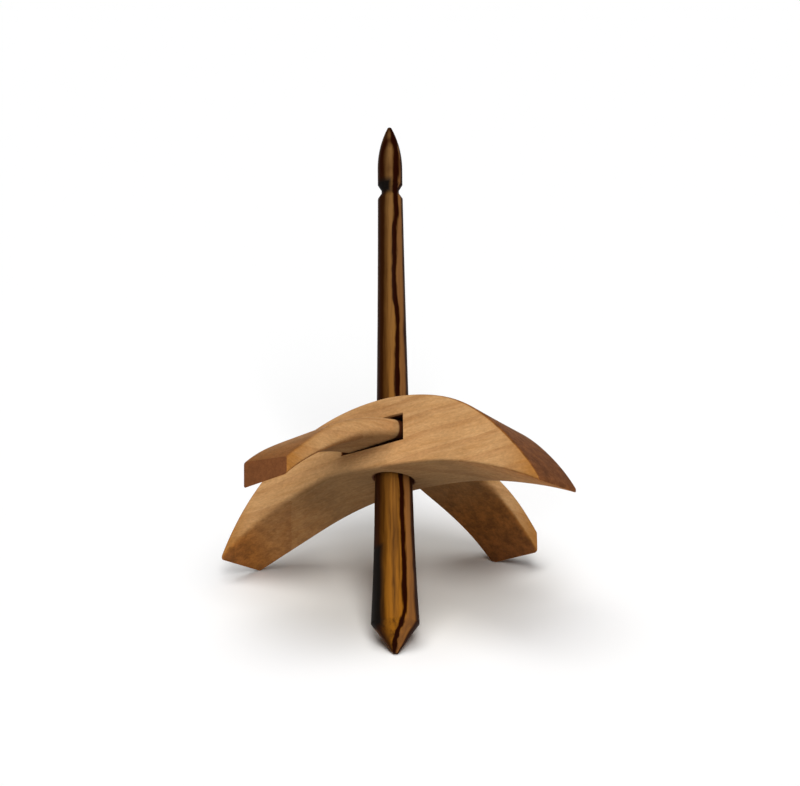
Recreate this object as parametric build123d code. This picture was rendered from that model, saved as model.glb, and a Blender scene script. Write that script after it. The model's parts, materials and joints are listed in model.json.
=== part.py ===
"""Turkish drop spindle: a turned shaft that locks two crossed, arched arms.

The inner arm passes through a window in the outer arm, and the tapered shaft goes up through
the bores of both. The spindle is drawn in its own frame first: Z up the shaft, zero at the
underside of the hub, the outer arm along X and the inner arm along Y. It is then turned to
stand as it does on a table, on the shaft's point and on one tip of each arm, with the shaft
leaning towards +Y. The origin is on the table, below the middle of the object.
"""
from build123d import *
import math
import os

# ---- Shaft, in millimetres. Heights are above the underside of the hub ----
foot_drop = 33.6             # from the hub's underside down to the shoulder, where the shaft is widest
foot_radius = 5.5            # at the shoulder
flare_middle_radius = 4.75   # halfway between the seat and the shoulder
point_length = 6.9           # from the shoulder down to the lower point
point_end_radius = 0.55      # the lower point is a little blunt
seat_radius = 4.25           # at the hub's underside
seat_taper = 0.0315          # fall in radius for each millimetre up the seat
seat_margin = 3.0            # how far the straight taper runs on past each face of the hub
groove_height = 68.3         # underside of the hitch groove
groove_width = 3.6
groove_land = 0.8            # straight part of the neck
neck_radius = 2.03
slim_radius = 2.9            # just below the groove
slim_middle_radius = 3.2     # halfway between the seat and the groove
finial_radius = 2.87
finial_straight = 3.9        # straight wall above the groove
finial_point_length = 10.4   # rounded part above the straight wall
finial_end_radius = 0.4

# ---- Outer arm ----
outer_length = 94.4
outer_hub_width = 14.8
outer_end_width = 13.3
outer_hub_depth = 17.0       # top of the arch above its underside, at the shaft
outer_drop = 11.1            # fall of the underside from the hub to the tips
outer_tip_thickness = 1.2
window_floor = 6.3           # bottom of the window above the hub's underside

# ---- Inner arm ----
inner_length = 86.8
inner_hub_width = 15.4
inner_end_width = 12.7
inner_thickness = 5.3
inner_drop = 16.2            # fall of the underside from the middle to the ends

# ---- Fits and easings ----
shaft_clearance = 0.05       # radial, between the seat and both bores
rest_gap = 0.05              # between the inner arm and the window's floor
window_top_gap = 0.15        # above the crown of the inner arm
window_side_gap = 1.3
mouth_ease = 0.65            # bevel round the bore in the hub's underside
edge_ease = 0.3              # rounding of the arms' edges
largest_ease = 1 / 3         # the most that the rounding may take of a tip's thickness
cutter_margin = 5.0          # how far a cutter runs past the faces that it cuts

# ---- Finding the standing pose ----
mesh_tolerance = 0.02        # of the surface points that are searched for the lowest
standing_rounds = 12         # far more than the pose needs to settle


def arc_radius(length, rise):
    """Radius of an arc with the given chord and rise."""
    return (length ** 2 / 4 + rise ** 2) / (2 * rise)


def arc_fall(length, rise, distance):
    """How far such an arc falls at a distance from its crown."""
    radius = arc_radius(length, rise)
    return radius - math.sqrt(radius ** 2 - distance ** 2)


def seat_radius_at(height):
    """Radius of the straight taper at a height above the hub's underside."""
    return seat_radius - seat_taper * height


# ---- Heights that follow from the fits ----
inner_underside = window_floor + rest_gap + arc_fall(inner_length, inner_drop, outer_hub_width / 2)
inner_top = inner_underside + inner_thickness
window_top = inner_top + window_top_gap
seat_bottom = -seat_margin
seat_top = outer_hub_depth + seat_margin
tip_height = groove_height + groove_width + finial_straight + finial_point_length


def shaft_solid():
    """One turned piece: point, flared foot, straight tapered seat, slim upper part, groove, finial."""
    seat_low = (seat_radius_at(seat_bottom), seat_bottom)
    seat_high = (seat_radius_at(seat_top), seat_top)
    below_groove = (slim_radius, groove_height)
    land_low = (neck_radius, groove_height + (groove_width - groove_land) / 2)
    land_high = (neck_radius, land_low[1] + groove_land)
    finial_low = (finial_radius, groove_height + groove_width)
    finial_high = (finial_radius, finial_low[1] + finial_straight)
    with BuildPart() as shaft:
        with BuildSketch(Plane.XZ):
            with BuildLine():
                Polyline((0, -foot_drop - point_length), (point_end_radius, -foot_drop - point_length),
                         (foot_radius, -foot_drop))
                ThreePointArc((foot_radius, -foot_drop),
                              (flare_middle_radius, (seat_bottom - foot_drop) / 2), seat_low)
                Line(seat_low, seat_high)
                ThreePointArc(seat_high, (slim_middle_radius, (seat_top + groove_height) / 2), below_groove)
                Polyline(below_groove, land_low, land_high, finial_low, finial_high)
                TangentArc(finial_high, (finial_end_radius, tip_height), tangent=(0, 1))
                Polyline((finial_end_radius, tip_height), (0, tip_height), (0, -foot_drop - point_length))
            make_face()
        revolve(axis=Axis.Z)
    return shaft.part


def arched_arm(length, hub_width, end_width, drop, underside, hub_depth, tip_thickness):
    """An arm along X: an arched side outline, cut to a plan that narrows towards both ends."""
    half = length / 2
    tip = underside - drop
    with BuildPart() as arm:
        with BuildSketch(Plane.XZ):
            with BuildLine():
                ThreePointArc((-half, tip), (0, underside), (half, tip))
                Line((half, tip), (half, tip + tip_thickness))
                ThreePointArc((half, tip + tip_thickness), (0, underside + hub_depth),
                              (-half, tip + tip_thickness))
                Line((-half, tip + tip_thickness), (-half, tip))
            make_face()
        extrude(amount=hub_width, both=True)
        with BuildSketch(Plane.XY.offset(tip)):
            with BuildLine():
                ThreePointArc((-half, end_width / 2), (0, hub_width / 2), (half, end_width / 2))
                Line((half, end_width / 2), (half, -end_width / 2))
                ThreePointArc((half, -end_width / 2), (0, -hub_width / 2), (-half, -end_width / 2))
                Line((-half, -end_width / 2), (-half, end_width / 2))
            make_face()
        extrude(amount=drop + hub_depth, mode=Mode.INTERSECT)
        fillet(arm.edges(), radius=min(edge_ease, tip_thickness * largest_ease))
    return arm.part


def bore_solid():
    """The tapered hole that the seat fills, through everything between the seat's two ends."""
    low = seat_radius_at(seat_bottom) + shaft_clearance
    high = seat_radius_at(seat_top) + shaft_clearance
    middle = Location((0, 0, (seat_bottom + seat_top) / 2))
    return middle * Cone(low, high, seat_top - seat_bottom)


def mouth_solid():
    """The bevel that eases the bore's mouth in the hub's underside."""
    bore_radius = seat_radius_at(mouth_ease) + shaft_clearance
    height = mouth_ease + cutter_margin
    middle = Location((0, 0, mouth_ease - height / 2))
    return middle * Cone(bore_radius + height, bore_radius, height)


def window_solid():
    """The opening through the outer arm's sides for the inner arm."""
    height = window_top - window_floor
    middle = Location((0, 0, window_floor + height / 2))
    return middle * Box(inner_hub_width + 2 * window_side_gap, outer_hub_width + 2 * cutter_margin, height)


def outer_arm_solid():
    """The deep crescent with the window through its sides and the bore through its hub."""
    arm = arched_arm(outer_length, outer_hub_width, outer_end_width, outer_drop, 0,
                     outer_hub_depth, outer_tip_thickness)
    return arm - window_solid() - bore_solid() - mouth_solid()


def inner_arm_solid():
    """The even arched strip with square ends, which lies across the outer arm."""
    arm = arched_arm(inner_length, inner_hub_width, inner_end_width, inner_drop, inner_underside,
                     inner_thickness, inner_thickness)
    return Rot(0, 0, 90) * arm - bore_solid()


def lowest_point(points, up):
    """The point that is lowest when the given direction is up."""
    return min(points, key=lambda point: point.dot(up))


def surface_points(solid):
    """Points all over a solid's surface."""
    return solid.tessellate(mesh_tolerance)[0]


def standing_location(shaft, outer, inner):
    """Stands the spindle on its shaft's point, the outer arm's -X tip and the inner arm's +Y tip.

    The three touching points depend on which way is up, and up on the three points, so they are
    found in turn until they agree.
    """
    feet = [
        surface_points(shaft),
        [point for point in surface_points(outer) if point.X < 0],
        [point for point in surface_points(inner) if point.Y > 0],
    ]
    up = Vector(0, 0, 1)
    for _ in range(standing_rounds):
        foot, outer_tip, inner_tip = [lowest_point(points, up) for points in feet]
        up = (outer_tip - foot).cross(foot - inner_tip).normalized()
        if up.Z < 0:
            up = -up
    lean = (Vector(0, 0, 1) - up * up.Z).normalized()
    return Plane(origin=foot, x_dir=lean.cross(up), z_dir=up).location.inverse()


def centred_on_table(pieces):
    """The move that puts the origin on the table, below the middle of the pieces."""
    boxes = [piece.bounding_box() for piece in pieces]
    low_x, high_x = min(box.min.X for box in boxes), max(box.max.X for box in boxes)
    low_y, high_y = min(box.min.Y for box in boxes), max(box.max.Y for box in boxes)
    return Location((-(low_x + high_x) / 2, -(low_y + high_y) / 2, -min(box.min.Z for box in boxes)))


def main():
    """Makes the three pieces, stands them on the table, writes them and returns where they went."""
    shaft = shaft_solid()
    outer = outer_arm_solid()
    inner = inner_arm_solid()
    stand = standing_location(shaft, outer, inner)
    pieces = {"shaft": stand * shaft, "outer_arm": stand * outer, "inner_arm": stand * inner}
    centre = centred_on_table(pieces.values())
    os.makedirs("parts", exist_ok=True)
    for name, piece in pieces.items():
        export_step(centre * piece, os.path.join("parts", name + ".step"))
    return centre * stand


placed = main()
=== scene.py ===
"""Turkish drop spindle: a turned shaft of dark-streaked wood and two crossed arms of pale wood."""
import json
import math

import bmesh
import bpy
from mathutils import Matrix, Vector, noise


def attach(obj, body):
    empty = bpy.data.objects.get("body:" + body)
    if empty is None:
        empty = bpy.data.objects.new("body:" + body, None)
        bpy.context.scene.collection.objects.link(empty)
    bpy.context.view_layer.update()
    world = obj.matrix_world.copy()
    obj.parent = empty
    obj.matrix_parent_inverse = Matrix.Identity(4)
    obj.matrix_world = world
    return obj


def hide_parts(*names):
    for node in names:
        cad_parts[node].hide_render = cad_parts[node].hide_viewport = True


bl_info = {
    "name": "Turkish Drop Spindle",
    "version": (1, 0, 0),
    "blender": (4, 5, 0),
    "location": "View3D > Sidebar > Spindle",
    "description": "Makes the shaft and the two arms of a Turkish drop spindle, on a pale table",
    "category": "Add Mesh",
}

MM = 0.001
PER_MM = 1 / MM

STATION = 0.6 * MM           # spacing of the sections along an arm, and of the rings up the shaft
EASE_STEPS = 6               # facets round an eased edge
FLAT_STEPS = 6               # facets across each flat of an arm's section
SOFT_TURN = math.radians(8)  # the shaft's outline is eased only where it turns more sharply
SHARP_TURN = math.radians(32)  # edges of an arm that turn more sharply than this aren't smoothed over
SEAT_REACH = 3 * MM          # how far the seat's straight taper runs on past both faces of the hub
CUTTER_MARGIN = 4 * MM       # how far a cutter runs past the faces that it cuts

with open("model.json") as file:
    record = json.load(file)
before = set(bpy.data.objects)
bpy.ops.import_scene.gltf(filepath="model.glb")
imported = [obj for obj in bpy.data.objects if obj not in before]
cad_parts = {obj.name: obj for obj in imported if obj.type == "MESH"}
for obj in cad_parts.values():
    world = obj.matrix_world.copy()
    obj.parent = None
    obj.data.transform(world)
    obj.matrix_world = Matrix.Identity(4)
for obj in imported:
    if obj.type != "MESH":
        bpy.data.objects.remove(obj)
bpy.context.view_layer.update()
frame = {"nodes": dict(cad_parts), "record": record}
mounts = {mount["name"]: mount for mount in frame["record"]["mounts"]}


# ---- The spindle's own frame: Z up the shaft, X along the outer arm, Y along the inner arm ----

def own_frame():
    """The own frame as a matrix in the row frame. Its origin is the middle of the hub's underside."""
    names = ("outer_arm_winding", "inner_arm_winding", "leader_groove")
    axes = Matrix([mounts[name]["axis"] for name in names]).transposed()
    return Matrix.Translation(mounts["outer_arm_winding"]["pos_m"]) @ axes.to_4x4()


OWN = own_frame()


def own_points(node):
    """A CAD node's vertices in the own frame, in metres."""
    to_own = OWN.inverted()
    return [to_own @ vertex.co for vertex in frame["nodes"][node].data.vertices]


def own_box(node):
    """A CAD node's lowest and highest corner in the own frame, in metres."""
    points = own_points(node)
    low = Vector([min(point[axis] for point in points) for axis in range(3)])
    high = Vector([max(point[axis] for point in points) for axis in range(3)])
    return low, high


SHAFT_LOW, SHAFT_HIGH = own_box("shaft")
OUTER_LOW, OUTER_HIGH = own_box("outer_arm")
INNER_LOW, INNER_HIGH = own_box("inner_arm")


# ---- Properties ----

def linear(code):
    """An sRGB hex colour as linear red, green, blue and alpha."""
    values = [int(code[place:place + 2], 16) / 255 for place in (1, 3, 5)]
    return [v / 12.92 if v <= 0.04045 else ((v + 0.055) / 1.055) ** 2.4 for v in values] + [1.0]


def length(name, description, default):
    """A length property, in metres."""
    return bpy.props.FloatProperty(name=name, description=description, default=default, unit="LENGTH",
                                   precision=5)


def share(name, description, default):
    """A plain number property, such as a slope or a share of another size."""
    return bpy.props.FloatProperty(name=name, description=description, default=default, precision=4)


def colour(name, description, code):
    """A colour property whose default is an sRGB hex value."""
    return bpy.props.FloatVectorProperty(name=name, description=description, default=linear(code), size=4,
                                         min=0, max=1, subtype="COLOR")


class ShaftSettings(bpy.types.PropertyGroup):
    """Sizes and colours of the turned shaft."""
    edge_ease: length("Edge ease", "Rounding of the shoulder, the groove and the finial's lower edge", 0.3 * MM)
    waviness: share("Waviness", "Unevenness left by hand sanding, as a share of the radius", 0.012)
    wave_length: length("Wave length", "Length of that unevenness along the shaft", 9 * MM)
    segments: bpy.props.IntProperty(name="Segments", description="Facets round the shaft", default=128, min=16)
    figure_angle: bpy.props.FloatProperty(
        name="Figure angle", description="Turn of the dark layers about the shaft, from the outer arm",
        default=math.radians(40.3), unit="ROTATION")
    gold: colour("Gold", "Wood between the dark lines at the foot", "#8C5714")
    olive: colour("Olive", "Wood between the dark lines at the thin end", "#74542E")
    dull: colour("Dull", "Wood to the right of the main dark line", "#7C5230")
    brown: colour("Brown", "Darker wood between the lines", "#40240C")
    black: colour("Black", "The dark growth lines", "#200701")
    heartwood: colour("Heartwood", "Black heartwood that shows on the foot and the neck", "#14100D")


class ArmSettings(bpy.types.PropertyGroup):
    """Sizes and colours that both arms share."""
    end_ease: length("End ease", "Rounding round the sawn ends", 0.22 * MM)
    bore_gap: length("Bore gap", "Gap between the shaft and the bores", 0.05 * MM)
    side_wave: length("Side wave", "Unevenness of the sides, as hand sanding leaves it", 0.08 * MM)
    face_wave: length("Face wave", "Unevenness of the top and the underside", 0.1 * MM)
    tan: colour("Tan", "The pale wood", "#C29665")
    rose: colour("Rose", "Its darker fibres", "#B28453")
    line: colour("Line", "The late wood at the edge of a growth ring", "#935F35")
    slanting: colour("Slanting", "Fibres cut at a slant", "#8A5625")
    end_grain: colour("End grain", "Fibres cut across, which soak up the oil", "#6E4224")
    # Painted shade colour, laid in the window's gaps and round the bore's mouth.
    joint_shade: colour("Joint shade", "Painted shade in the window and round the bore", "#46210E")
    soaked: colour("Soaked", "Wood near the ends, where oil went in along the fibres", "#A26A2C")


class OuterArmSettings(bpy.types.PropertyGroup):
    """Sizes of the deep crescent arm."""
    tip_thickness: length("Tip thickness", "Thickness at both tips", 1.2 * MM)
    end_width: length("End width", "Width at both tips", 13.3 * MM)
    near_edge_blunt: length("Standing half's edge", "Rounding of the lower edge on the standing half", 1.5 * MM)
    near_edge_crisp: length("Free half's edge", "Rounding of the lower edge on the free half", 0.7 * MM)
    far_lower_edge: length("Far lower edge", "Rounding of the lower edge on the far side", 0.35 * MM)
    top_edges: length("Top edges", "Rounding of the upper long edges", 0.6 * MM)
    under_slope: share("Underside's slope", "Slope of the underside across the arm", 0.11)
    under_twist: share("Underside's twist", "How much steeper it gets towards the standing tip", 0.09)
    top_slope: share("Top's slope", "Slope of the top across the arm", 0.06)
    top_twist: share("Top's twist", "How much steeper it gets in the middle of the free half", 0.13)
    ridge: length("Ridge", "Lift of the near lower edge along the standing half", 0.8 * MM)
    ridge_swell: length("Ridge's swell", "How much more it is lifted next to the hub", 1.1 * MM)
    window_floor: length("Window floor", "Floor of the window above the hub's underside", 6.3 * MM)
    window_side_gap: length("Window's side gap", "Gap at each side of the inner arm", 1.3 * MM)
    window_top_gap: length("Window's top gap", "Gap above the inner arm", 0.15 * MM)
    window_ease: length("Window ease", "Bevel round the window's mouths", 0.3 * MM)
    mouth_ease: length("Mouth ease", "Bevel round the bore's lower mouth", 0.6 * MM)
    mouth_slope: share("Mouth's slope", "Slope of that bevel across the arm, as the underside has it", 0.145)


class InnerArmSettings(bpy.types.PropertyGroup):
    """Sizes of the even arched arm."""
    thickness: length("Thickness", "Thickness of the strip", 5.3 * MM)
    free_end_extra: length("Free end's extra", "How much thicker the free end is", 0.6 * MM)
    end_width: length("End width", "Width at both ends", 12.7 * MM)
    nose: length("Nose", "Rounding of the right side's long edges at the window", 2.3 * MM)
    nose_at_ends: length("Nose at the ends", "Rounding of the right side's long edges at both ends", 0.8 * MM)
    left_edges: length("Left edges", "Rounding of the left side's long edges", 0.5 * MM)
    nose_lift: length("Nose lift", "How far the right side's underside clears the window's floor", 0.9 * MM)
    belly: length("Belly", "How far both sides stand out in the middle of the standing half", 0.65 * MM)
    swing: length("Swing", "How far the standing end bends to the right", 0.5 * MM)
    splay: length("Splay", "How far the standing half's left side stands out", 0.8 * MM)
    pinch: length("Pinch", "How far the free end's right upper edge is sanded down", 1.5 * MM)
    far_dip: length("Far dip", "How far the left upper edge dips in the middle of each half", 1.2 * MM)


class StageSettings(bpy.types.PropertyGroup):
    """Camera, lights and table."""
    azimuth: bpy.props.FloatProperty(name="Azimuth", description="Camera's way round from the front",
                                     default=math.radians(0.56), unit="ROTATION")
    elevation: bpy.props.FloatProperty(name="Elevation", description="Camera's angle above the table",
                                       default=math.radians(22.54), unit="ROTATION")
    roll: bpy.props.FloatProperty(name="Roll", description="Camera's tilt", default=math.radians(-1.09),
                                  unit="ROTATION")
    distance: length("Distance", "Camera to the hub, along the view", 0.909)
    aim_right: length("Aim right", "Middle of the view, to the right of the hub's underside", 1.45 * MM)
    aim_up: length("Aim up", "Middle of the view, above the hub's underside", 19.9 * MM)
    lens: share("Lens", "Focal length in millimetres", 180)
    light: share("Light", "Strength of each of the two lamps", 1.85)
    surroundings: share("Surroundings", "Strength of the light from all round", 0.05)
    # Painted shadow: the board is greyer under the spindle and fades out to the far colour.
    board_shade: colour("Board under the spindle", "The board's colour where the spindle stands", "#E3E0DA")
    board_far: colour("Board around it", "The board's colour further away", "#FAFAFA")
    shade_radius: length("Grey radius", "How far the first colour reaches", 15 * MM)
    shade_fade_radius: length("White radius", "Where the second colour is reached", 50 * MM)


# ---- Small tools ----

def add_node(tree, kind, inputs=None, **settings):
    """Adds a node with its settings.

    Each input is a value, a socket, or a node, which then gives its first output in use.
    """
    node = tree.nodes.new(kind)
    for name, value in settings.items():
        setattr(node, name, value)
    for key, value in (inputs or {}).items():
        named = [socket for socket in node.inputs if socket.enabled and socket.name == key]
        target = node.inputs[key] if isinstance(key, int) else named[0]
        if isinstance(value, bpy.types.Node):
            value = next(socket for socket in value.outputs if socket.enabled)
        if isinstance(value, bpy.types.NodeSocket):
            tree.links.new(value, target)
        else:
            target.default_value = value
    return node


def smoothstep(low, high, value):
    """0 below low, 1 above high, and an even S between them."""
    share = min(max((value - low) / (high - low), 0), 1)
    return share * share * (3 - 2 * share)


def sag(radius, distance):
    """How far an arc falls at a distance from its crown."""
    return radius - math.sqrt(radius ** 2 - distance ** 2)


def arc_radius(half_chord, rise):
    """Radius of an arc with the given half chord and rise."""
    return (half_chord ** 2 + rise ** 2) / (2 * rise)


def eased_corner(corner, before, after, radius):
    """Points of the arc that rounds a corner between two straight lines."""
    to_before = (before - corner).normalized()
    to_after = (after - corner).normalized()
    half_angle = to_before.angle(to_after) / 2
    centre = corner + (to_before + to_after).normalized() * (radius / math.sin(half_angle))
    reach = radius / math.tan(half_angle)
    start = corner + to_before * reach - centre
    end = corner + to_after * reach - centre
    return [centre + start.slerp(end, step / EASE_STEPS) * radius for step in range(EASE_STEPS + 1)]


def new_object(name, mesh):
    """A scene object that holds a mesh."""
    made = bpy.data.objects.new(name, mesh)
    bpy.context.scene.collection.objects.link(made)
    return made


def baked(piece):
    """The piece with its modifiers turned into a plain mesh."""
    graph = bpy.context.evaluated_depsgraph_get()
    mesh = bpy.data.meshes.new_from_object(piece.evaluated_get(graph), depsgraph=graph)
    piece.modifiers.clear()
    piece.data = mesh
    return piece


def require_closed(piece):
    """Raises an error if the piece's mesh has an open, doubled or inside-out surface."""
    solid = bmesh.new()
    solid.from_mesh(piece.data)
    loose = [edge for edge in solid.edges if len(edge.link_faces) != 2]
    volume = solid.calc_volume(signed=True)
    solid.free()
    if loose or volume <= 0:
        raise RuntimeError(f"{piece.name} isn't a closed solid: {len(loose)} bad edges, volume {volume}")


def hand_over(piece, node, body):
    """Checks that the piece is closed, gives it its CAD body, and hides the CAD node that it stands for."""
    require_closed(piece)
    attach(piece, body)
    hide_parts(node)


# ---- The shaft ----

def shaft_radii():
    """The radius at each height where the CAD shaft has a ring of vertices."""
    return {round(point.z, 5): math.hypot(point.x, point.y) for point in own_points("shaft")}


def turned_profile(ease):
    """Radius and height all the way up the shaft: the CAD node's rings, with their corners eased."""
    rings = shaft_radii()
    corners = [Vector((rings[height], 0, height)) for height in sorted(rings)]
    corners = [Vector((0, 0, SHAFT_LOW.z)), *corners, Vector((0, 0, SHAFT_HIGH.z))]
    profile = corners[:1]
    for before, corner, after in zip(corners, corners[1:], corners[2:]):
        turn = (corner - before).angle(after - corner)
        room = min((corner - before).length, (after - corner).length) / 2
        radius = min(ease, room / math.tan(turn / 2)) if turn > SOFT_TURN else 0
        profile += eased_corner(corner, before, after, radius) if radius else [corner]
    profile += corners[-1:]
    return divided(profile, STATION)


def divided(points, spacing):
    """The line through the points, with points added so that no two are further apart than the spacing."""
    line = [points[0]]
    for start, end in zip(points, points[1:]):
        count = math.ceil((end - start).length / spacing)
        line += [start.lerp(end, (step + 1) / count) for step in range(count)]
    return line


def lathe_tree():
    """Geometry nodes that turn a profile round Z into a closed solid."""
    tree = bpy.data.node_groups.new("Lathe", "GeometryNodeTree")
    tree.is_modifier = True
    for name, kind in (("Profile", "NodeSocketGeometry"), ("Segments", "NodeSocketInt"),
                       ("Waviness", "NodeSocketFloat"), ("Wave Length", "NodeSocketFloat"),
                       ("Material", "NodeSocketMaterial")):
        tree.interface.new_socket(name, in_out="INPUT", socket_type=kind)
    tree.interface.new_socket("Geometry", in_out="OUTPUT", socket_type="NodeSocketGeometry")
    inputs = add_node(tree, "NodeGroupInput").outputs
    count = add_node(tree, "GeometryNodeAttributeDomainSize", {0: inputs["Profile"]}).outputs["Point Count"]
    columns = add_node(tree, "FunctionNodeIntegerMath", {0: inputs["Segments"], 1: 1}, operation="ADD")
    sheet = add_node(tree, "GeometryNodeMeshGrid", {"Vertices X": columns, "Vertices Y": count})
    index = add_node(tree, "GeometryNodeInputIndex")
    along = add_node(tree, "FunctionNodeIntegerMath", {0: index, 1: count}, operation="MODULO")
    column = add_node(tree, "FunctionNodeIntegerMath", {0: index, 1: count}, operation="DIVIDE_FLOOR")
    position = add_node(tree, "GeometryNodeInputPosition")
    point = add_node(tree, "GeometryNodeSampleIndex", {
        "Geometry": inputs["Profile"], "Value": position, "Index": along}, data_type="FLOAT_VECTOR")
    turns = add_node(tree, "ShaderNodeMath", {0: column, 1: inputs["Segments"]}, operation="DIVIDE")
    angle = add_node(tree, "ShaderNodeMath", {0: turns, 1: 2 * math.pi}, operation="MULTIPLY")
    turned = add_node(tree, "ShaderNodeVectorRotate", {"Vector": point, "Angle": angle}, rotation_type="Z_AXIS")
    around = add_node(tree, "ShaderNodeVectorMath", {0: turned, 1: inputs["Wave Length"]}, operation="DIVIDE")
    sanding = add_node(tree, "ShaderNodeTexNoise", {"Vector": around, "Scale": 1.0, "Detail": 1.0})
    swing = add_node(tree, "ShaderNodeMath", {0: sanding, 1: 0.5}, operation="SUBTRACT")
    growth = add_node(tree, "ShaderNodeMath", {0: swing, 1: inputs["Waviness"], 2: 1.0},
                      operation="MULTIPLY_ADD")
    spread = add_node(tree, "ShaderNodeCombineXYZ", {"X": growth, "Y": growth, "Z": 1.0})
    final = add_node(tree, "ShaderNodeVectorMath", {0: turned, 1: spread}, operation="MULTIPLY")
    placed = add_node(tree, "GeometryNodeSetPosition", {"Geometry": sheet, "Position": final})
    closed = add_node(tree, "GeometryNodeMergeByDistance", {"Geometry": placed, "Distance": 0.001 * MM})
    smooth = add_node(tree, "GeometryNodeSetShadeSmooth", {"Geometry": closed})
    real = add_node(tree, "GeometryNodeRealizeInstances", {"Geometry": smooth})
    finished = add_node(tree, "GeometryNodeSetMaterial", {"Geometry": real, "Material": inputs["Material"]})
    add_node(tree, "NodeGroupOutput", {"Geometry": finished})
    return tree


def set_inputs(modifier, values):
    """Gives a Geometry Nodes modifier's named inputs their values."""
    sockets = {item.name: item for item in modifier.node_group.interface.items_tree if item.in_out == "INPUT"}
    for name, value in values.items():
        modifier[sockets[name].identifier] = value


# ---- The arms ----

def rounded_ring(corners, radii):
    """A closed ring of points round a four-cornered section with rounded corners."""
    ring = []
    for index, (corner, radius) in enumerate(zip(corners, radii)):
        arc = eased_corner(corner, corners[index - 1], corners[(index + 1) % 4], radius)
        if ring:
            ring += [ring[-1].lerp(arc[0], step / FLAT_STEPS) for step in range(1, FLAT_STEPS)]
        ring += arc
    ring += [ring[-1].lerp(ring[0], step / FLAT_STEPS) for step in range(1, FLAT_STEPS)]
    return ring


def lofted(name, rings):
    """A closed piece skinned over rings of points, whose ends are drawn in to a middle point."""
    solid = bmesh.new()
    middles = [sum(ring, Vector()) / len(ring) for ring in (rings[0], rings[-1])]
    for middle, at_start in zip(middles, (True, False)):
        end = rings[0] if at_start else rings[-1]
        for share in (0.25, 0.5, 0.75):
            ring = [point.lerp(middle, share) for point in end]
            rings = [ring] + rings if at_start else rings + [ring]
    skin = [[solid.verts.new(point) for point in ring] for ring in rings]
    for ring, after in zip(skin, skin[1:]):
        for index in range(len(ring)):
            solid.faces.new((ring[index - 1], ring[index], after[index], after[index - 1]))
    for middle, ring in zip(middles, (skin[0], skin[-1])):
        pole = solid.verts.new(middle)
        for index in range(len(ring)):
            solid.faces.new((pole, ring[index - 1], ring[index]))
    bmesh.ops.recalc_face_normals(solid, faces=solid.faces)
    mesh = bpy.data.meshes.new(name)
    solid.to_mesh(mesh)
    solid.free()
    return new_object(name, mesh)


def arm_stations(half, bend, ease):
    """Places along an arm, evenly spaced over its arched top, and how far the section is drawn in there."""
    widest = math.asin((half - ease) / bend)
    count = math.ceil(2 * widest * bend / STATION)
    places = [(bend * math.sin(widest * (2 * step / count - 1)), 0) for step in range(count + 1)]
    curls = [math.pi / 2 * (step + 1) / EASE_STEPS for step in range(EASE_STEPS)]
    end = [(half - ease + ease * math.sin(curl), ease * (1 - math.cos(curl))) for curl in curls]
    start = [(-place, inset) for place, inset in reversed(end)]
    return start + places + end


def hand_wave(seed, place, size):
    """A slow unevenness along an arm, as hand sawing and sanding leave it."""
    return size * noise.noise(Vector((place / (14 * MM), seed, 0)))


def swell(place, centre, spread):
    """A smooth swelling: 1 at its centre, and nearly 0 at twice its spread from there."""
    return math.exp(-((place - centre) / spread) ** 2)


# Shallow hollows that the saw left in the outer arm's top: depth, place along the arm, and spread.
TOP_HOLLOWS = ((0.35 * MM, -9 * MM, 15 * MM), (0.3 * MM, 41 * MM, 6 * MM))


def outer_arm_rings(outer, arms):
    """Sections of the deep crescent, which is sawn a little out of square.

    Places run from the standing tip, below zero, to the free one.
    """
    half, depth = OUTER_HIGH.x, OUTER_HIGH.z
    lowest = min(own_points("outer_arm"), key=lambda point: point.z)
    under_bend = arc_radius(abs(lowest.x), -lowest.z)
    tip = -sag(under_bend, half)
    top_bend = arc_radius(half, depth - tip - outer.tip_thickness)
    plan_bend = arc_radius(half, OUTER_HIGH.y - outer.end_width / 2)
    rings = []
    for place, inset in arm_stations(half, top_bend, arms.end_ease):
        slant = 1 - (abs(place) / half) ** (8 if place < 0 else 4)
        wide = OUTER_HIGH.y - sag(plan_bend, place) - inset + hand_wave(1, place, arms.side_wave)
        under = -sag(under_bend, place) + inset + hand_wave(2, place, arms.face_wave) * slant
        top = depth - sag(top_bend, place) - inset + hand_wave(3, place, arms.face_wave) * slant
        top -= sum(hollow * swell(place, centre, spread) for hollow, centre, spread in TOP_HOLLOWS)
        twist = outer.under_twist * smoothstep(-10 * MM, -35 * MM, place)
        low_lean = (outer.under_slope + twist) * slant * wide
        top_lean = (outer.top_slope + outer.top_twist * swell(place, 25 * MM, 11 * MM)) * slant * wide
        ridge = outer.ridge * smoothstep(8 * MM, -14 * MM, place) * slant
        ridge += outer.ridge_swell * swell(place, -13 * MM, 9 * MM)
        corners = [Vector((place, -wide, under + low_lean + ridge)), Vector((place, wide, under - low_lean)),
                   Vector((place, wide, top - top_lean)), Vector((place, -wide, top + top_lean))]
        crispness = smoothstep(-14 * MM, 10 * MM, place)
        near_edge = outer.near_edge_blunt + (outer.near_edge_crisp - outer.near_edge_blunt) * crispness
        near_most, far_most = 0.45 * (corners[3].z - corners[0].z), 0.45 * (corners[2].z - corners[1].z)
        rings.append(rounded_ring(corners, [
            min(near_edge, near_most), min(outer.far_lower_edge, far_most),
            min(outer.top_edges, far_most), min(outer.top_edges, near_most)]))
    return rings


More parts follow.
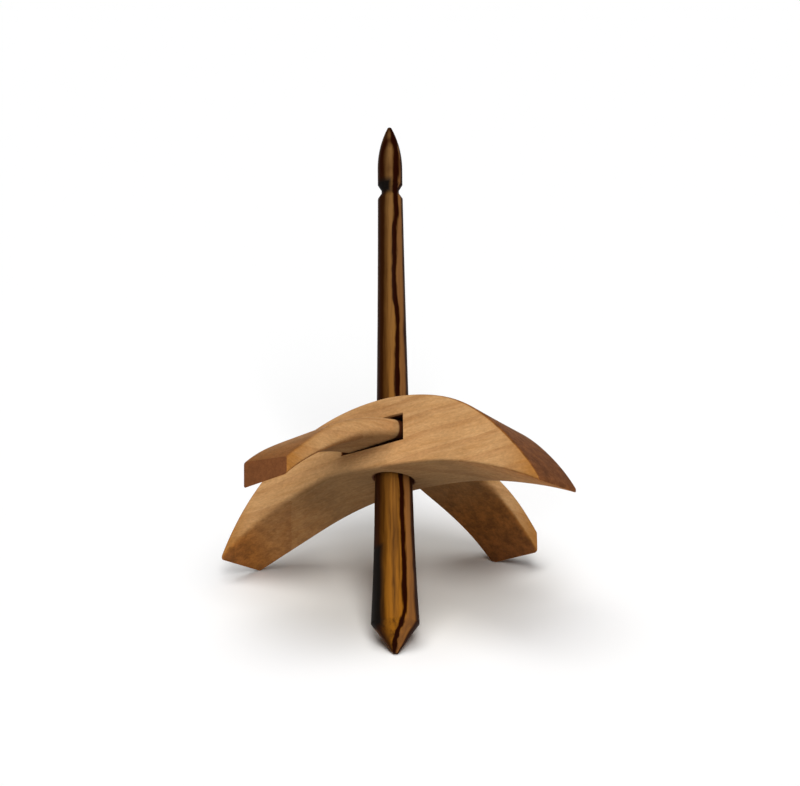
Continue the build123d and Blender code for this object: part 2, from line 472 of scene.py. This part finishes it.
def inner_arm_rings(inner, arms):
    """Sections of the even strip, whose free end is a little thicker and dips at its far side."""
    half, top_z = INNER_HIGH.y, INNER_HIGH.z
    lowest = min(own_points("inner_arm"), key=lambda point: point.z)
    under_z = top_z - inner.thickness
    under_bend = arc_radius(abs(lowest.y), under_z - lowest.z)
    drop = sag(under_bend, half)
    top_bend = arc_radius(half, drop)
    plan_bend = arc_radius(half, INNER_HIGH.x - inner.end_width / 2)
    rings = []
    for place, inset in arm_stations(half, top_bend, arms.end_ease):
        freedom = smoothstep(-8 * MM, -half, place)
        wide = INNER_HIGH.x - sag(plan_bend, place) - inset + hand_wave(4, place, arms.side_wave)
        wide += inner.belly * swell(place, 25 * MM, 14 * MM)
        swing = inner.swing * smoothstep(20 * MM, 38 * MM, place)
        splay = inner.splay * smoothstep(7 * MM, 24 * MM, place)
        pinch = inner.pinch * smoothstep(-24 * MM, -41 * MM, place)
        under = under_z - sag(under_bend, place) + inset
        top = top_z - sag(top_bend, place) - inset
        far_dip = inner.far_dip * swell(abs(place), 29 * MM, 11 * MM)
        lift = inner.nose_lift * swell(place, 0, 17 * MM)
        thicker = inner.free_end_extra * freedom
        left, right = swing - wide - splay, swing + wide
        corners = [Vector((left, place, under - thicker - inner.free_end_extra / 2 * freedom)),
                   Vector((right, place, under - thicker + lift + 0.3 * pinch)),
                   Vector((right, place, top - pinch)), Vector((left, place, top - far_dip))]
        nose = inner.nose + (inner.nose_at_ends - inner.nose) * smoothstep(16 * MM, 38 * MM, abs(place))
        most = 0.44 * (top - under + thicker - lift - 1.3 * pinch)
        radii = [min(radius, most) for radius in (inner.left_edges, nose, nose, inner.left_edges)]
        rings.append(rounded_ring(corners, radii))
    return rings


def bore_taper(gap):
    """The tapered hole for the seat: its lower and upper end, its radius at the lower one, and its taper."""
    rings = shaft_radii()
    reach = 1.01 * SEAT_REACH
    seat = [height for height in sorted(rings) if -reach < height < OUTER_HIGH.z + reach]
    low, high = seat[0], seat[-1]
    taper = (rings[high] - rings[low]) / (high - low)
    return low, high, rings[low] + gap, taper


def cone_rings(stations, count=96):
    """Rings of a turned cutter through stations of height and radius."""
    angles = [2 * math.pi * step / count for step in range(count)]
    return [[Vector((radius * math.cos(angle), radius * math.sin(angle), height)) for angle in angles]
            for height, radius in stations]


def cut(piece, cutter):
    """Takes the cutter out of the piece, and the cutter out of the scene."""
    boolean = piece.modifiers.new("Cut", "BOOLEAN")
    boolean.operation = "DIFFERENCE"
    boolean.solver = "EXACT"
    boolean.object = cutter
    baked(piece)
    bpy.data.objects.remove(cutter)


def window_rings(outer):
    """Rings of the four-sided cutter for the window, which flares at both faces of the outer arm."""
    half = INNER_HIGH.x + outer.window_side_gap
    floor, ceiling = outer.window_floor, INNER_HIGH.z + outer.window_top_gap
    face, straight = OUTER_HIGH.y + CUTTER_MARGIN, OUTER_HIGH.y - outer.window_ease
    rings = []
    for place, flare in ((-face, CUTTER_MARGIN), (-straight, 0), (straight, 0), (face, CUTTER_MARGIN)):
        left, right, low, high = -half - flare, half + flare, floor - flare, ceiling + flare
        corners = (left, low), (right, low), (right, high), (left, high)
        rings.append([Vector((x, place, z)) for x, z in corners])
    return rings


def finish_arm(piece, material):
    """Smooth shading broken at the sawn edges, the arm's place in the row frame, and its wood."""
    piece.data.transform(OWN)
    piece.data.shade_smooth()
    piece.data.set_sharp_from_angle(angle=SHARP_TURN)
    piece.data.materials.clear()
    piece.data.materials.append(material)


# ---- Woods ----

def wood_coordinates(tree, grain_frame):
    """Object coordinates in millimetres in a frame of the wood's own."""
    turn = grain_frame.to_3x3().transposed()
    move = -(turn @ grain_frame.translation) * PER_MM
    source = add_node(tree, "ShaderNodeTexCoord")
    return add_node(tree, "ShaderNodeMapping", {
        "Vector": source.outputs["Object"], "Scale": (PER_MM,) * 3, "Rotation": turn.to_euler(),
        "Location": move})


def within(tree, vector, half_sizes, centre, softness=0.5):
    """1 inside a box and 0 outside it, with soft faces. All in millimetres."""
    moved = add_node(tree, "ShaderNodeVectorMath", {0: vector, 1: centre}, operation="SUBTRACT")
    away = add_node(tree, "ShaderNodeVectorMath", {0: moved}, operation="ABSOLUTE")
    past = add_node(tree, "ShaderNodeVectorMath", {0: away, 1: half_sizes}, operation="SUBTRACT")
    faces = add_node(tree, "ShaderNodeSeparateXYZ", {"Vector": past}).outputs
    furthest = add_node(tree, "ShaderNodeMath", {0: faces["X"], 1: faces["Y"]}, operation="MAXIMUM")
    furthest = add_node(tree, "ShaderNodeMath", {0: furthest, 1: faces["Z"]}, operation="MAXIMUM")
    return add_node(tree, "ShaderNodeMapRange", {"Value": furthest, "From Min": -softness, "From Max": 0.0,
                                                 "To Min": 1.0, "To Max": 0.0})


def laid_over(tree, base, layers):
    """The base colour with others laid over it in turn, each as far as its factor says."""
    for factor, over in layers:
        base = add_node(tree, "ShaderNodeMix", {"Factor": factor, "A": base, "B": over}, data_type="RGBA")
    return base


def oiled_cherry(name, grain_frame, half_length, arms, window):
    """Cherry, hand sanded and oiled: X runs along the fibres.

    To the eye it is a pale honey tan with faint growth lines along the grain and short fine flecks,
    nearly matt, and a darker red-brown where the fibres are cut across and drank more oil.
    """
    material = bpy.data.materials.new(name)
    material.use_nodes = True
    tree = material.node_tree
    wood = wood_coordinates(tree, grain_frame)
    across = add_node(tree, "ShaderNodeTexNoise", {"Vector": wood, "Scale": 1 / 30, "Detail": 1.0})
    wander = add_node(tree, "ShaderNodeVectorMath", {0: across.outputs["Color"], 1: (0, 3.0, 3.0), 2: wood},
                      operation="MULTIPLY_ADD")
    # Growth rings 4.2 mm wide, lying a little askew to the arm, each ending in a thin darker line.
    layers = add_node(tree, "ShaderNodeMapping", {"Vector": wander, "Rotation": (math.radians(24),
                                                                                 math.radians(3), 0)})
    rings = add_node(tree, "ShaderNodeTexWave", {
        "Vector": layers, "Scale": 2 * math.pi / 20 / 4.2, "Distortion": 0.8, "Detail": 2.0,
        "Detail Scale": 0.6}, wave_type="BANDS", bands_direction="Z", wave_profile="SAW")
    late_wood = add_node(tree, "ShaderNodeMapRange", {"Value": rings.outputs["Fac"], "From Min": 0.55,
                                                      "From Max": 1.0}, interpolation_type="SMOOTHERSTEP")
    # Fibre bundles about 0.9 mm wide and fourteen times as long.
    long_way = add_node(tree, "ShaderNodeVectorMath", {0: wander, 1: (0.07, 1.0, 1.0)}, operation="MULTIPLY")
    fibres = add_node(tree, "ShaderNodeTexNoise", {"Vector": long_way, "Scale": 1 / 0.9, "Detail": 2.0,
                                                   "Roughness": 0.6})
    # Pores: real ones are 0.1 mm wide, drawn 0.4 mm wide and 1 mm long so that they show.
    pore_way = add_node(tree, "ShaderNodeVectorMath", {0: wander, 1: (0.4, 1.0, 1.0)}, operation="MULTIPLY")
    pores = add_node(tree, "ShaderNodeTexNoise", {"Vector": pore_way, "Scale": 1 / 0.4, "Detail": 2.0,
                                                  "Roughness": 0.6})
    flecks = add_node(tree, "ShaderNodeMapRange", {"Value": pores.outputs["Fac"], "From Min": 0.3,
                                                   "From Max": 0.7})
    clouds = add_node(tree, "ShaderNodeTexNoise", {"Vector": wood, "Scale": 1 / 11, "Detail": 1.0})
    body = add_node(tree, "ShaderNodeMapRange", {"Value": fibres.outputs["Fac"], "From Min": 0.3,
                                                 "From Max": 0.7})
    plain = add_node(tree, "ShaderNodeMix", {"Factor": body, "A": list(arms.rose), "B": list(arms.tan)},
                     data_type="RGBA")
    line_share = add_node(tree, "ShaderNodeMath", {0: late_wood, 1: 0.3}, operation="MULTIPLY")
    # Near the ends the oil crept in along the fibres, as uneven fingers.
    own_place = add_node(tree, "ShaderNodeSeparateXYZ", {"Vector": wood})
    from_middle = add_node(tree, "ShaderNodeMath", {0: own_place.outputs["X"]}, operation="ABSOLUTE")
    fingers = add_node(tree, "ShaderNodeMath", {0: fibres.outputs["Fac"], 1: 9.0, 2: from_middle},
                       operation="MULTIPLY_ADD")
    soak = add_node(tree, "ShaderNodeMapRange", {
        "Value": fingers, "From Min": half_length * PER_MM - 7.0, "From Max": half_length * PER_MM + 5.0,
        "To Max": 0.9}, interpolation_type="SMOOTHSTEP")
    # How far the surface cuts across the fibres.
    source = add_node(tree, "ShaderNodeTexCoord")
    grain_axis = grain_frame.to_3x3().col[0]
    facing = add_node(tree, "ShaderNodeVectorMath", {0: source.outputs["Normal"], 1: grain_axis},
                      operation="DOT_PRODUCT")
    across_share = add_node(tree, "ShaderNodeMath", {0: facing.outputs["Value"]}, operation="ABSOLUTE")
    downward = add_node(tree, "ShaderNodeVectorMath", {0: source.outputs["Normal"], 1: -OWN.to_3x3().col[2]},
                        operation="DOT_PRODUCT")
    # Painted shade: on the inner arm the slant colour is held to 0.4 on faces that don't point down and reaches
    # full strength on the underside. The outer arm has no such limit.
    slant_cap_with_under_shade = add_node(tree, "ShaderNodeMapRange", {"Value": downward.outputs["Value"], "From Max": 0.5,
                                                       "To Min": 1.0 if window else 0.4, "To Max": 1.0})
    slant_share_with_under_shade = add_node(tree, "ShaderNodeMapRange", {
        "Value": across_share, "From Min": 0.1, "From Max": 0.5, "To Max": slant_cap_with_under_shade},
        interpolation_type="SMOOTHSTEP")
    end_share = add_node(tree, "ShaderNodeMapRange", {"Value": across_share, "From Min": 0.4, "From Max": 0.8},
                         interpolation_type="SMOOTHSTEP")
    coloured = laid_over(tree, plain, (
        (line_share, list(arms.line)), (soak, list(arms.soaked)), (slant_share_with_under_shade, list(arms.slanting)),
        (end_share, list(arms.end_grain))))
    shade = add_node(tree, "ShaderNodeMapRange", {"Value": flecks, "To Min": 0.86, "To Max": 1.1})
    cloud_shade = add_node(tree, "ShaderNodeMapRange", {"Value": clouds.outputs["Fac"], "From Min": 0.25,
                                                        "From Max": 0.75, "To Min": 0.93, "To Max": 1.07})
    # Painted shade: faces that point down are darkened to about half near the hub and less towards the ends,
    # where the outer arm's are lifted a little as painted bounce light.
    underside_shade_depth = add_node(tree, "ShaderNodeMapRange", {"Value": from_middle, "From Min": 20.0, "From Max": 40.0,
                                                       "To Min": 0.48, "To Max": 1.1 if window else 0.95})
    painted_underside_shade = add_node(tree, "ShaderNodeMapRange", {"Value": downward.outputs["Value"], "From Min": 0.1,
                                                        "From Max": 0.85, "To Min": 1.0, "To Max": underside_shade_depth})
    # Painted shade: in the window and round the bore, where the pieces meet, the wood is darkened to a dark
    # brown.
    hub = wood_coordinates(tree, OWN)
    inner_half, outer_half = INNER_HIGH.x * PER_MM, OUTER_HIGH.y * PER_MM
    if window:
        window_shade_mask = within(tree, hub, (inner_half + 1.4, outer_half - 0.1, 5.0), (0, 0, 9.4))
    else:
        window_shade_mask = within(tree, hub, (50, outer_half - 0.3, 50), (0, 0, 0))
    from_axis = add_node(tree, "ShaderNodeVectorMath", {0: hub, 1: (1, 1, 0)}, operation="MULTIPLY")
    bore_way = add_node(tree, "ShaderNodeVectorMath", {0: from_axis}, operation="LENGTH")
    bore_shade_mask = add_node(tree, "ShaderNodeMapRange", {"Value": bore_way.outputs["Value"], "From Min": 4.7,
                                                    "From Max": 5.1, "To Min": 1.0, "To Max": 0.0})
    painted_joint_shade = add_node(tree, "ShaderNodeMath", {0: window_shade_mask, 1: bore_shade_mask}, operation="MAXIMUM")
    # Cut across, the fibres took the oil in blotches about 2 mm wide.
    blotches = add_node(tree, "ShaderNodeTexNoise", {"Vector": wood, "Scale": 1 / 2.2, "Detail": 4.0,
                                                     "Roughness": 0.7})
    blotch = add_node(tree, "ShaderNodeMapRange", {"Value": blotches.outputs["Fac"], "From Min": 0.38,
                                                   "From Max": 0.62, "To Min": 0.7, "To Max": 1.25})
    blotch_shade = add_node(tree, "ShaderNodeMix", {"Factor": slant_share_with_under_shade, "A": 1.0, "B": blotch})
    shades = (shade, cloud_shade, painted_underside_shade, blotch_shade)
    tone_and_painted_shade = shades[0]
    for other in shades[1:]:
        tone_and_painted_shade = add_node(tree, "ShaderNodeMath", {0: tone_and_painted_shade, 1: other}, operation="MULTIPLY")
    toned_and_shaded = add_node(tree, "ShaderNodeVectorMath", {0: coloured, "Scale": tone_and_painted_shade}, operation="SCALE")
    # The painted shade in the window and round the bore is laid over last.
    final = add_node(tree, "ShaderNodeMix", {"Factor": painted_joint_shade, "A": toned_and_shaded, "B": list(arms.joint_shade)},
                     data_type="RGBA")
    gloss = add_node(tree, "ShaderNodeMapRange", {"Value": pores.outputs["Fac"], "To Min": 0.78,
                                                  "To Max": 0.66})
    relief = add_node(tree, "ShaderNodeBump", {"Height": flecks, "Strength": 0.35, "Distance": 0.08 * MM})
    shader = tree.nodes["Principled BSDF"]
    shader.inputs["IOR"].default_value = 1.46
    shader.inputs["Specular IOR Level"].default_value = 0.08
    for target, value in (("Base Color", final.outputs[2]), ("Roughness", gloss.outputs[0]),
                          ("Normal", relief.outputs[0])):
        tree.links.new(value, shader.inputs[target])
    return material


# Where the main dark line of the shaft runs: height up the shaft and place across it, in millimetres.
MAIN_LINE = ((-41, -0.5), (-37, 0.2), (-34, 1.5), (-30, 2.2), (-22, 2.1), (-14, 1.9), (-1, 1.6), (25, 1.1),
             (35, 1.3), (40, 1.2), (43, 0.8), (52, 0.65), (59, 0.75), (64, 1.3), (68, 1.1), (76, 1.4), (86, 0.3))
LINE_REACH = 6
# Black heartwood on the left of the foot, and across the left of the hitch groove: half sizes and middle
# of a box in millimetres, and how soft its faces are.
HEARTWOOD = (((4.0, 6.0, 10.0), (-5.8, -2.0, -25.5), 1.3), ((3.6, 6.0, 2.3), (-2.2, -2.0, 71.0), 1.5))


def oiled_bocote(name, grain_frame, shaft):
    """Bocote, turned, sanded and oiled to a satin: Z runs along the fibres, and X across the dark layers.

    To the eye it is a golden to olive brown with fine brown streaks and a few nearly black,
    slightly wavy lines that run the whole length, under a thin clear sheen.
    """
    material = bpy.data.materials.new(name)
    material.use_nodes = True
    tree = material.node_tree
    wood = wood_coordinates(tree, grain_frame)
    low, high = SHAFT_LOW.z * PER_MM, SHAFT_HIGH.z * PER_MM
    slow_way = add_node(tree, "ShaderNodeVectorMath", {0: wood, 1: (1.0, 1.0, 0.5)}, operation="MULTIPLY")
    wobble = add_node(tree, "ShaderNodeTexNoise", {"Vector": slow_way, "Scale": 1 / 3, "Detail": 2.0})
    wander = add_node(tree, "ShaderNodeVectorMath", {0: wobble.outputs["Color"], 1: (0.7, 0, 0), 2: wood},
                      operation="MULTIPLY_ADD")
    place = add_node(tree, "ShaderNodeSeparateXYZ", {"Vector": wander}).outputs
    side = add_node(tree, "ShaderNodeMath", {0: place["X"], 1: 0.35}, operation="SUBTRACT")
    # Streaks up to 1.5 mm wide, with finer ones in them, between the dark lines.
    streak_way = add_node(tree, "ShaderNodeVectorMath", {0: wander, 1: (1.0, 1.0, 0.035)}, operation="MULTIPLY")
    streaks = add_node(tree, "ShaderNodeTexNoise", {"Vector": streak_way, "Scale": 1 / 1.5, "Detail": 4.0,
                                                    "Roughness": 0.6})
    up = add_node(tree, "ShaderNodeMapRange", {"Value": place["Z"], "From Min": low, "From Max": high})
    light = add_node(tree, "ShaderNodeMix", {"Factor": up, "A": list(shaft.gold), "B": list(shaft.olive)},
                     data_type="RGBA")
    browner = add_node(tree, "ShaderNodeMapRange", {"Value": streaks.outputs["Fac"], "From Min": 0.36,
                                                    "From Max": 0.56, "To Min": 0.85, "To Max": 0.0})
    # The main dark line, about 1 mm wide, follows its own course up the shaft.
    course = add_node(tree, "ShaderNodeFloatCurve", {"Value": up})
    points = course.mapping.curves[0].points
    for height, across in MAIN_LINE[1:-1]:
        points.new((height - low) / (high - low), across / LINE_REACH / 2 + 0.5)
    for point, (height, across) in ((points[0], MAIN_LINE[0]), (points[-1], MAIN_LINE[-1])):
        point.location = ((height - low) / (high - low), across / LINE_REACH / 2 + 0.5)
    course.mapping.update()
    centre = add_node(tree, "ShaderNodeMapRange", {"Value": course, "To Min": -LINE_REACH,
                                                   "To Max": LINE_REACH})
    offset = add_node(tree, "ShaderNodeMath", {0: side, 1: centre}, operation="SUBTRACT")
    straight_away = add_node(tree, "ShaderNodeMath", {0: offset}, operation="ABSOLUTE")
    nibble_way = add_node(tree, "ShaderNodeVectorMath", {0: wood, 1: (1.0, 1.0, 0.2)}, operation="MULTIPLY")
    nibbles = add_node(tree, "ShaderNodeTexNoise", {"Vector": nibble_way, "Scale": 1 / 1.1, "Detail": 2.0})
    away = add_node(tree, "ShaderNodeMath", {0: nibbles, 1: 0.9, 2: straight_away}, operation="MULTIPLY_ADD")
    main_line = add_node(tree, "ShaderNodeMapRange", {
        "Value": away, "From Min": 0.8, "From Max": 1.25, "To Min": 1.0, "To Max": 0.0},
        interpolation_type="SMOOTHSTEP")
    # The wood to the right of the main line is duller.
    dull = add_node(tree, "ShaderNodeMapRange", {"Value": offset, "From Min": 0.3, "From Max": 0.8,
                                                 "To Max": 0.6}, interpolation_type="SMOOTHSTEP")
    # The finial's point cuts down through layers that lie behind each other, which draws a flame.
    layered = add_node(tree, "ShaderNodeTexWave", {
        "Vector": wander, "Scale": 2 * math.pi / 20 / 1.3, "Distortion": 1.5, "Detail": 2.0},
        wave_type="BANDS", bands_direction="Y", wave_profile="SIN")
    on_finial = add_node(tree, "ShaderNodeMapRange", {"Value": place["Z"], "From Min": 71.0, "From Max": 75.0})
    flame = add_node(tree, "ShaderNodeMath", {0: layered.outputs["Fac"], 1: on_finial}, operation="MULTIPLY")
    # The dark layers that the turning left on both flanks. Their depth is a share of the radius there.
    flat = add_node(tree, "ShaderNodeVectorMath", {0: wood, 1: (1.0, 1.0, 0.0)}, operation="MULTIPLY")
    radius = add_node(tree, "ShaderNodeVectorMath", {0: flat}, operation="LENGTH")
    flank = add_node(tree, "ShaderNodeMath", {0: side, 1: radius.outputs["Value"]}, operation="DIVIDE")
    right = add_node(tree, "ShaderNodeMapRange", {"Value": flank, "From Min": 0.77, "From Max": 0.9,
                                                  "To Max": 0.95}, interpolation_type="SMOOTHSTEP")
    wider = add_node(tree, "ShaderNodeMath", {0: up, 1: -0.25, 2: flank}, operation="MULTIPLY_ADD")
    ragged = add_node(tree, "ShaderNodeMath", {0: streaks.outputs["Fac"], 1: -1.0, 2: wider},
                      operation="MULTIPLY_ADD")
    left = add_node(tree, "ShaderNodeMapRange", {"Value": ragged, "From Min": -1.35, "From Max": -0.75,
                                                 "To Min": 0.95, "To Max": 0.0}, interpolation_type="SMOOTHSTEP")
    # Seen face on, a dark layer is itself streaked with brown.
    thinner = add_node(tree, "ShaderNodeMapRange", {"Value": streaks.outputs["Fac"], "From Min": 0.42,
                                                    "From Max": 0.6, "To Max": 0.85})
    behind = add_node(tree, "ShaderNodeMapRange", {"Value": place["Y"], "From Min": -1.5, "From Max": 1.0})
    bared = add_node(tree, "ShaderNodeMath", {0: thinner, 1: behind}, operation="MULTIPLY")
    dark_layer = add_node(tree, "ShaderNodeMix", {"Factor": bared, "A": list(shaft.black), "B": light},
                          data_type="RGBA")
    foot_patch, neck_patch = [within(tree, wander, *patch) for patch in HEARTWOOD]
    patches = add_node(tree, "ShaderNodeMath", {0: foot_patch, 1: neck_patch}, operation="MAXIMUM")
    final = laid_over(tree, light, (
        (browner, list(shaft.brown)), (dull, list(shaft.dull)), (flame, list(shaft.brown)),
        (main_line, list(shaft.black)), (right, list(shaft.black)), (left, dark_layer),
        (patches, list(shaft.heartwood))))
    gloss = add_node(tree, "ShaderNodeMapRange", {"Value": streaks.outputs["Fac"], "To Min": 0.45,
                                                  "To Max": 0.33})
    relief = add_node(tree, "ShaderNodeBump", {"Height": streaks.outputs["Fac"], "Strength": 0.2,
                                               "Distance": 0.08 * MM})
    shader = tree.nodes["Principled BSDF"]
    shader.inputs["IOR"].default_value = 1.48
    shader.inputs["Specular IOR Level"].default_value = 0.015
    tree.links.new(final.outputs[2], shader.inputs["Base Color"])
    tree.links.new(gloss.outputs[0], shader.inputs["Roughness"])
    tree.links.new(relief.outputs[0], shader.inputs["Normal"])
    return material


# ---- Operators ----

class SPINDLE_OT_turn_shaft(bpy.types.Operator):
    """Turn the shaft from its profile"""
    bl_idname = "spindle.turn_shaft"
    bl_label = "Turn Shaft"

    def execute(self, context):
        shaft = context.scene.spindle_shaft
        profile = turned_profile(shaft.edge_ease)
        mesh = bpy.data.meshes.new("turned_shaft")
        mesh.from_pydata(profile, [(step, step + 1) for step in range(len(profile) - 1)], [])
        piece = new_object("turned_shaft", mesh)
        figure_frame = OWN @ Matrix.Rotation(shaft.figure_angle, 4, "Z")
        wood = oiled_bocote("Bocote, turned and oiled", figure_frame, shaft)
        lathe = piece.modifiers.new("Lathe", "NODES")
        lathe.node_group = lathe_tree()
        set_inputs(lathe, {"Segments": shaft.segments, "Waviness": shaft.waviness,
                           "Wave Length": shaft.wave_length, "Material": wood})
        baked(piece)
        piece.data.transform(OWN)
        hand_over(piece, "shaft", "shaft")
        return {"FINISHED"}


class SPINDLE_OT_saw_outer_arm(bpy.types.Operator):
    """Saw the deep crescent arm, with its window and bore"""
    bl_idname = "spindle.saw_outer_arm"
    bl_label = "Saw Outer Arm"

    def execute(self, context):
        arms, outer = context.scene.spindle_arms, context.scene.spindle_outer
        piece = lofted("sawn_outer_arm", outer_arm_rings(outer, arms))
        cut(piece, lofted("window", window_rings(outer)))
        low, high, start, taper = bore_taper(arms.bore_gap)
        cut(piece, lofted("bore", cone_rings([(low - CUTTER_MARGIN, start - taper * CUTTER_MARGIN),
                                              (high, start + taper * (high - low))])))
        radius_at_mouth = start + taper * (outer.mouth_ease - low)
        mouth = lofted("mouth", cone_rings([
            (outer.mouth_ease - CUTTER_MARGIN, radius_at_mouth + CUTTER_MARGIN),
            (outer.mouth_ease, radius_at_mouth)]))
        mouth.data.transform(Matrix.Rotation(-math.atan(outer.mouth_slope), 4, "X"))
        cut(piece, mouth)
        wood = oiled_cherry("Cherry, sanded and oiled, outer arm", OWN, OUTER_HIGH.x, arms, True)
        finish_arm(piece, wood)
        hand_over(piece, "outer_arm", "arms")
        return {"FINISHED"}


class SPINDLE_OT_saw_inner_arm(bpy.types.Operator):
    """Saw the even arched arm, with its bore"""
    bl_idname = "spindle.saw_inner_arm"
    bl_label = "Saw Inner Arm"

    def execute(self, context):
        arms, inner = context.scene.spindle_arms, context.scene.spindle_inner
        piece = lofted("sawn_inner_arm", inner_arm_rings(inner, arms))
        low, high, start, taper = bore_taper(arms.bore_gap)
        cut(piece, lofted("bore", cone_rings([(low, start), (high, start + taper * (high - low))])))
        along = OWN @ Matrix.Rotation(math.pi / 2, 4, "Z")
        wood = oiled_cherry("Cherry, sanded and oiled, inner arm", along, INNER_HIGH.y, arms, False)
        finish_arm(piece, wood)
        hand_over(piece, "inner_arm", "arms")
        return {"FINISHED"}


class SPINDLE_OT_set_stage(bpy.types.Operator):
    """Set the table, the lights and the camera"""
    bl_idname = "spindle.set_stage"
    bl_label = "Set Stage"

    def execute(self, context):
        scene, stage = context.scene, context.scene.spindle_stage
        add_table(stage)
        add_light("Overhead", (-0.1, -0.2, 0.97), stage.light, math.radians(40))
        add_light("Front", (0.1, -0.68, 0.73), stage.light, math.radians(22))
        scene.world = bpy.data.worlds.new("Studio")
        scene.world.use_nodes = True
        surroundings = scene.world.node_tree.nodes["Background"].inputs
        surroundings["Color"].default_value = (1, 1, 1, 1)
        surroundings["Strength"].default_value = stage.surroundings
        scene.view_settings.view_transform = "Standard"
        add_camera(stage)
        return {"FINISHED"}


BOARD_RADIUS = 3.0           # of the flat part of the table top, in metres
BOARD_BEND = 0.5             # radius of the curve that its edge sweeps up in
BOARD_TURNS = [math.radians(step * 5) for step in range(17)]


def add_table(stage):
    """A large matt white table top whose edge sweeps up all round, with a painted shadow that greys it under the
    spindle.
    """
    sweep = [(BOARD_BEND * (1 - math.cos(turn)), BOARD_RADIUS + BOARD_BEND * math.sin(turn))
             for turn in BOARD_TURNS]
    rings = cone_rings([(0, 0.1), (0, 0.5), (0, 1.0), *sweep], 64)
    solid = bmesh.new()
    skin = [[solid.verts.new(point) for point in ring] for ring in rings]
    for ring, after in zip(skin, skin[1:]):
        for index in range(len(ring)):
            solid.faces.new((ring[index - 1], ring[index], after[index], after[index - 1])[::-1])
    solid.faces.new(skin[0])
    mesh = bpy.data.meshes.new("table")
    solid.to_mesh(mesh)
    solid.free()
    mesh.shade_smooth()
    table = new_object("table", mesh)
    paint = bpy.data.materials.new("Matt white board")
    paint.use_nodes = True
    tree = paint.node_tree
    source = add_node(tree, "ShaderNodeTexCoord")
    away = add_node(tree, "ShaderNodeVectorMath", {0: source.outputs["Object"]}, operation="LENGTH")
    # Painted shadow on the board round the spindle, fading to white between the two radii.
    out_of_painted_shade = add_node(tree, "ShaderNodeMapRange", {
        "Value": away.outputs["Value"], "From Min": stage.shade_radius, "From Max": stage.shade_fade_radius},
        interpolation_type="SMOOTHSTEP")
    tone_and_painted_shade = add_node(tree, "ShaderNodeMix", {
        "Factor": out_of_painted_shade, "A": list(stage.board_shade), "B": list(stage.board_far)}, data_type="RGBA")
    surface = tree.nodes["Principled BSDF"].inputs
    tree.links.new(tone_and_painted_shade.outputs[2], surface["Base Color"])
    surface["Roughness"].default_value = 0.8
    surface["Specular IOR Level"].default_value = 0.1
    mesh.materials.append(paint)


def add_light(name, towards, strength, width):
    """A soft light from far away, whose direction is given from the spindle, and its width as an angle."""
    lamp = bpy.data.lights.new(name, "SUN")
    lamp.energy = strength
    lamp.angle = width
    light = bpy.data.objects.new(name, lamp)
    light.location = towards
    light.rotation_euler = Vector(towards).to_track_quat("Z", "Y").to_euler()
    bpy.context.scene.collection.objects.link(light)


def add_camera(stage):
    """The camera, which looks down at the hub from the front."""
    back = Vector((math.sin(stage.azimuth) * math.cos(stage.elevation),
                   -math.cos(stage.azimuth) * math.cos(stage.elevation), math.sin(stage.elevation)))
    turn = (-back).to_track_quat("-Z", "Y").to_matrix() @ Matrix.Rotation(stage.roll, 3, "Z")
    aim = OWN.translation + turn.col[0] * stage.aim_right + turn.col[1] * stage.aim_up
    data = bpy.data.cameras.new("Camera")
    data.sensor_width = 36
    data.lens = stage.lens
    camera = bpy.data.objects.new("Camera", data)
    camera.matrix_world = Matrix.Translation(aim + back * stage.distance) @ turn.to_4x4()
    bpy.context.scene.collection.objects.link(camera)
    bpy.context.scene.camera = camera


OPERATORS = (SPINDLE_OT_turn_shaft, SPINDLE_OT_saw_outer_arm, SPINDLE_OT_saw_inner_arm, SPINDLE_OT_set_stage)
SETTINGS = {"spindle_shaft": ShaftSettings, "spindle_arms": ArmSettings, "spindle_outer": OuterArmSettings,
            "spindle_inner": InnerArmSettings, "spindle_stage": StageSettings}


class SPINDLE_PT_maker(bpy.types.Panel):
    """The spindle's sizes, colours and steps"""
    bl_label = "Drop Spindle"
    bl_space_type = "VIEW_3D"
    bl_region_type = "UI"
    bl_category = "Spindle"

    def draw(self, context):
        for name, group in SETTINGS.items():
            box = self.layout.box()
            for field in group.__annotations__:
                box.prop(getattr(context.scene, name), field)
        for operator in OPERATORS:
            self.layout.operator(operator.bl_idname)


def register():
    for name, group in SETTINGS.items():
        bpy.utils.register_class(group)
        setattr(bpy.types.Scene, name, bpy.props.PointerProperty(type=group))
    for kind in (*OPERATORS, SPINDLE_PT_maker):
        bpy.utils.register_class(kind)


def unregister():
    for kind in (SPINDLE_PT_maker, *reversed(OPERATORS)):
        bpy.utils.unregister_class(kind)
    for name, group in SETTINGS.items():
        delattr(bpy.types.Scene, name)
        bpy.utils.unregister_class(group)


def main():
    """Makes every piece and the stage."""
    register()
    bpy.ops.spindle.turn_shaft()
    bpy.ops.spindle.saw_outer_arm()
    bpy.ops.spindle.saw_inner_arm()
    bpy.ops.spindle.set_stage()


if __name__ == "__main__":
    main()
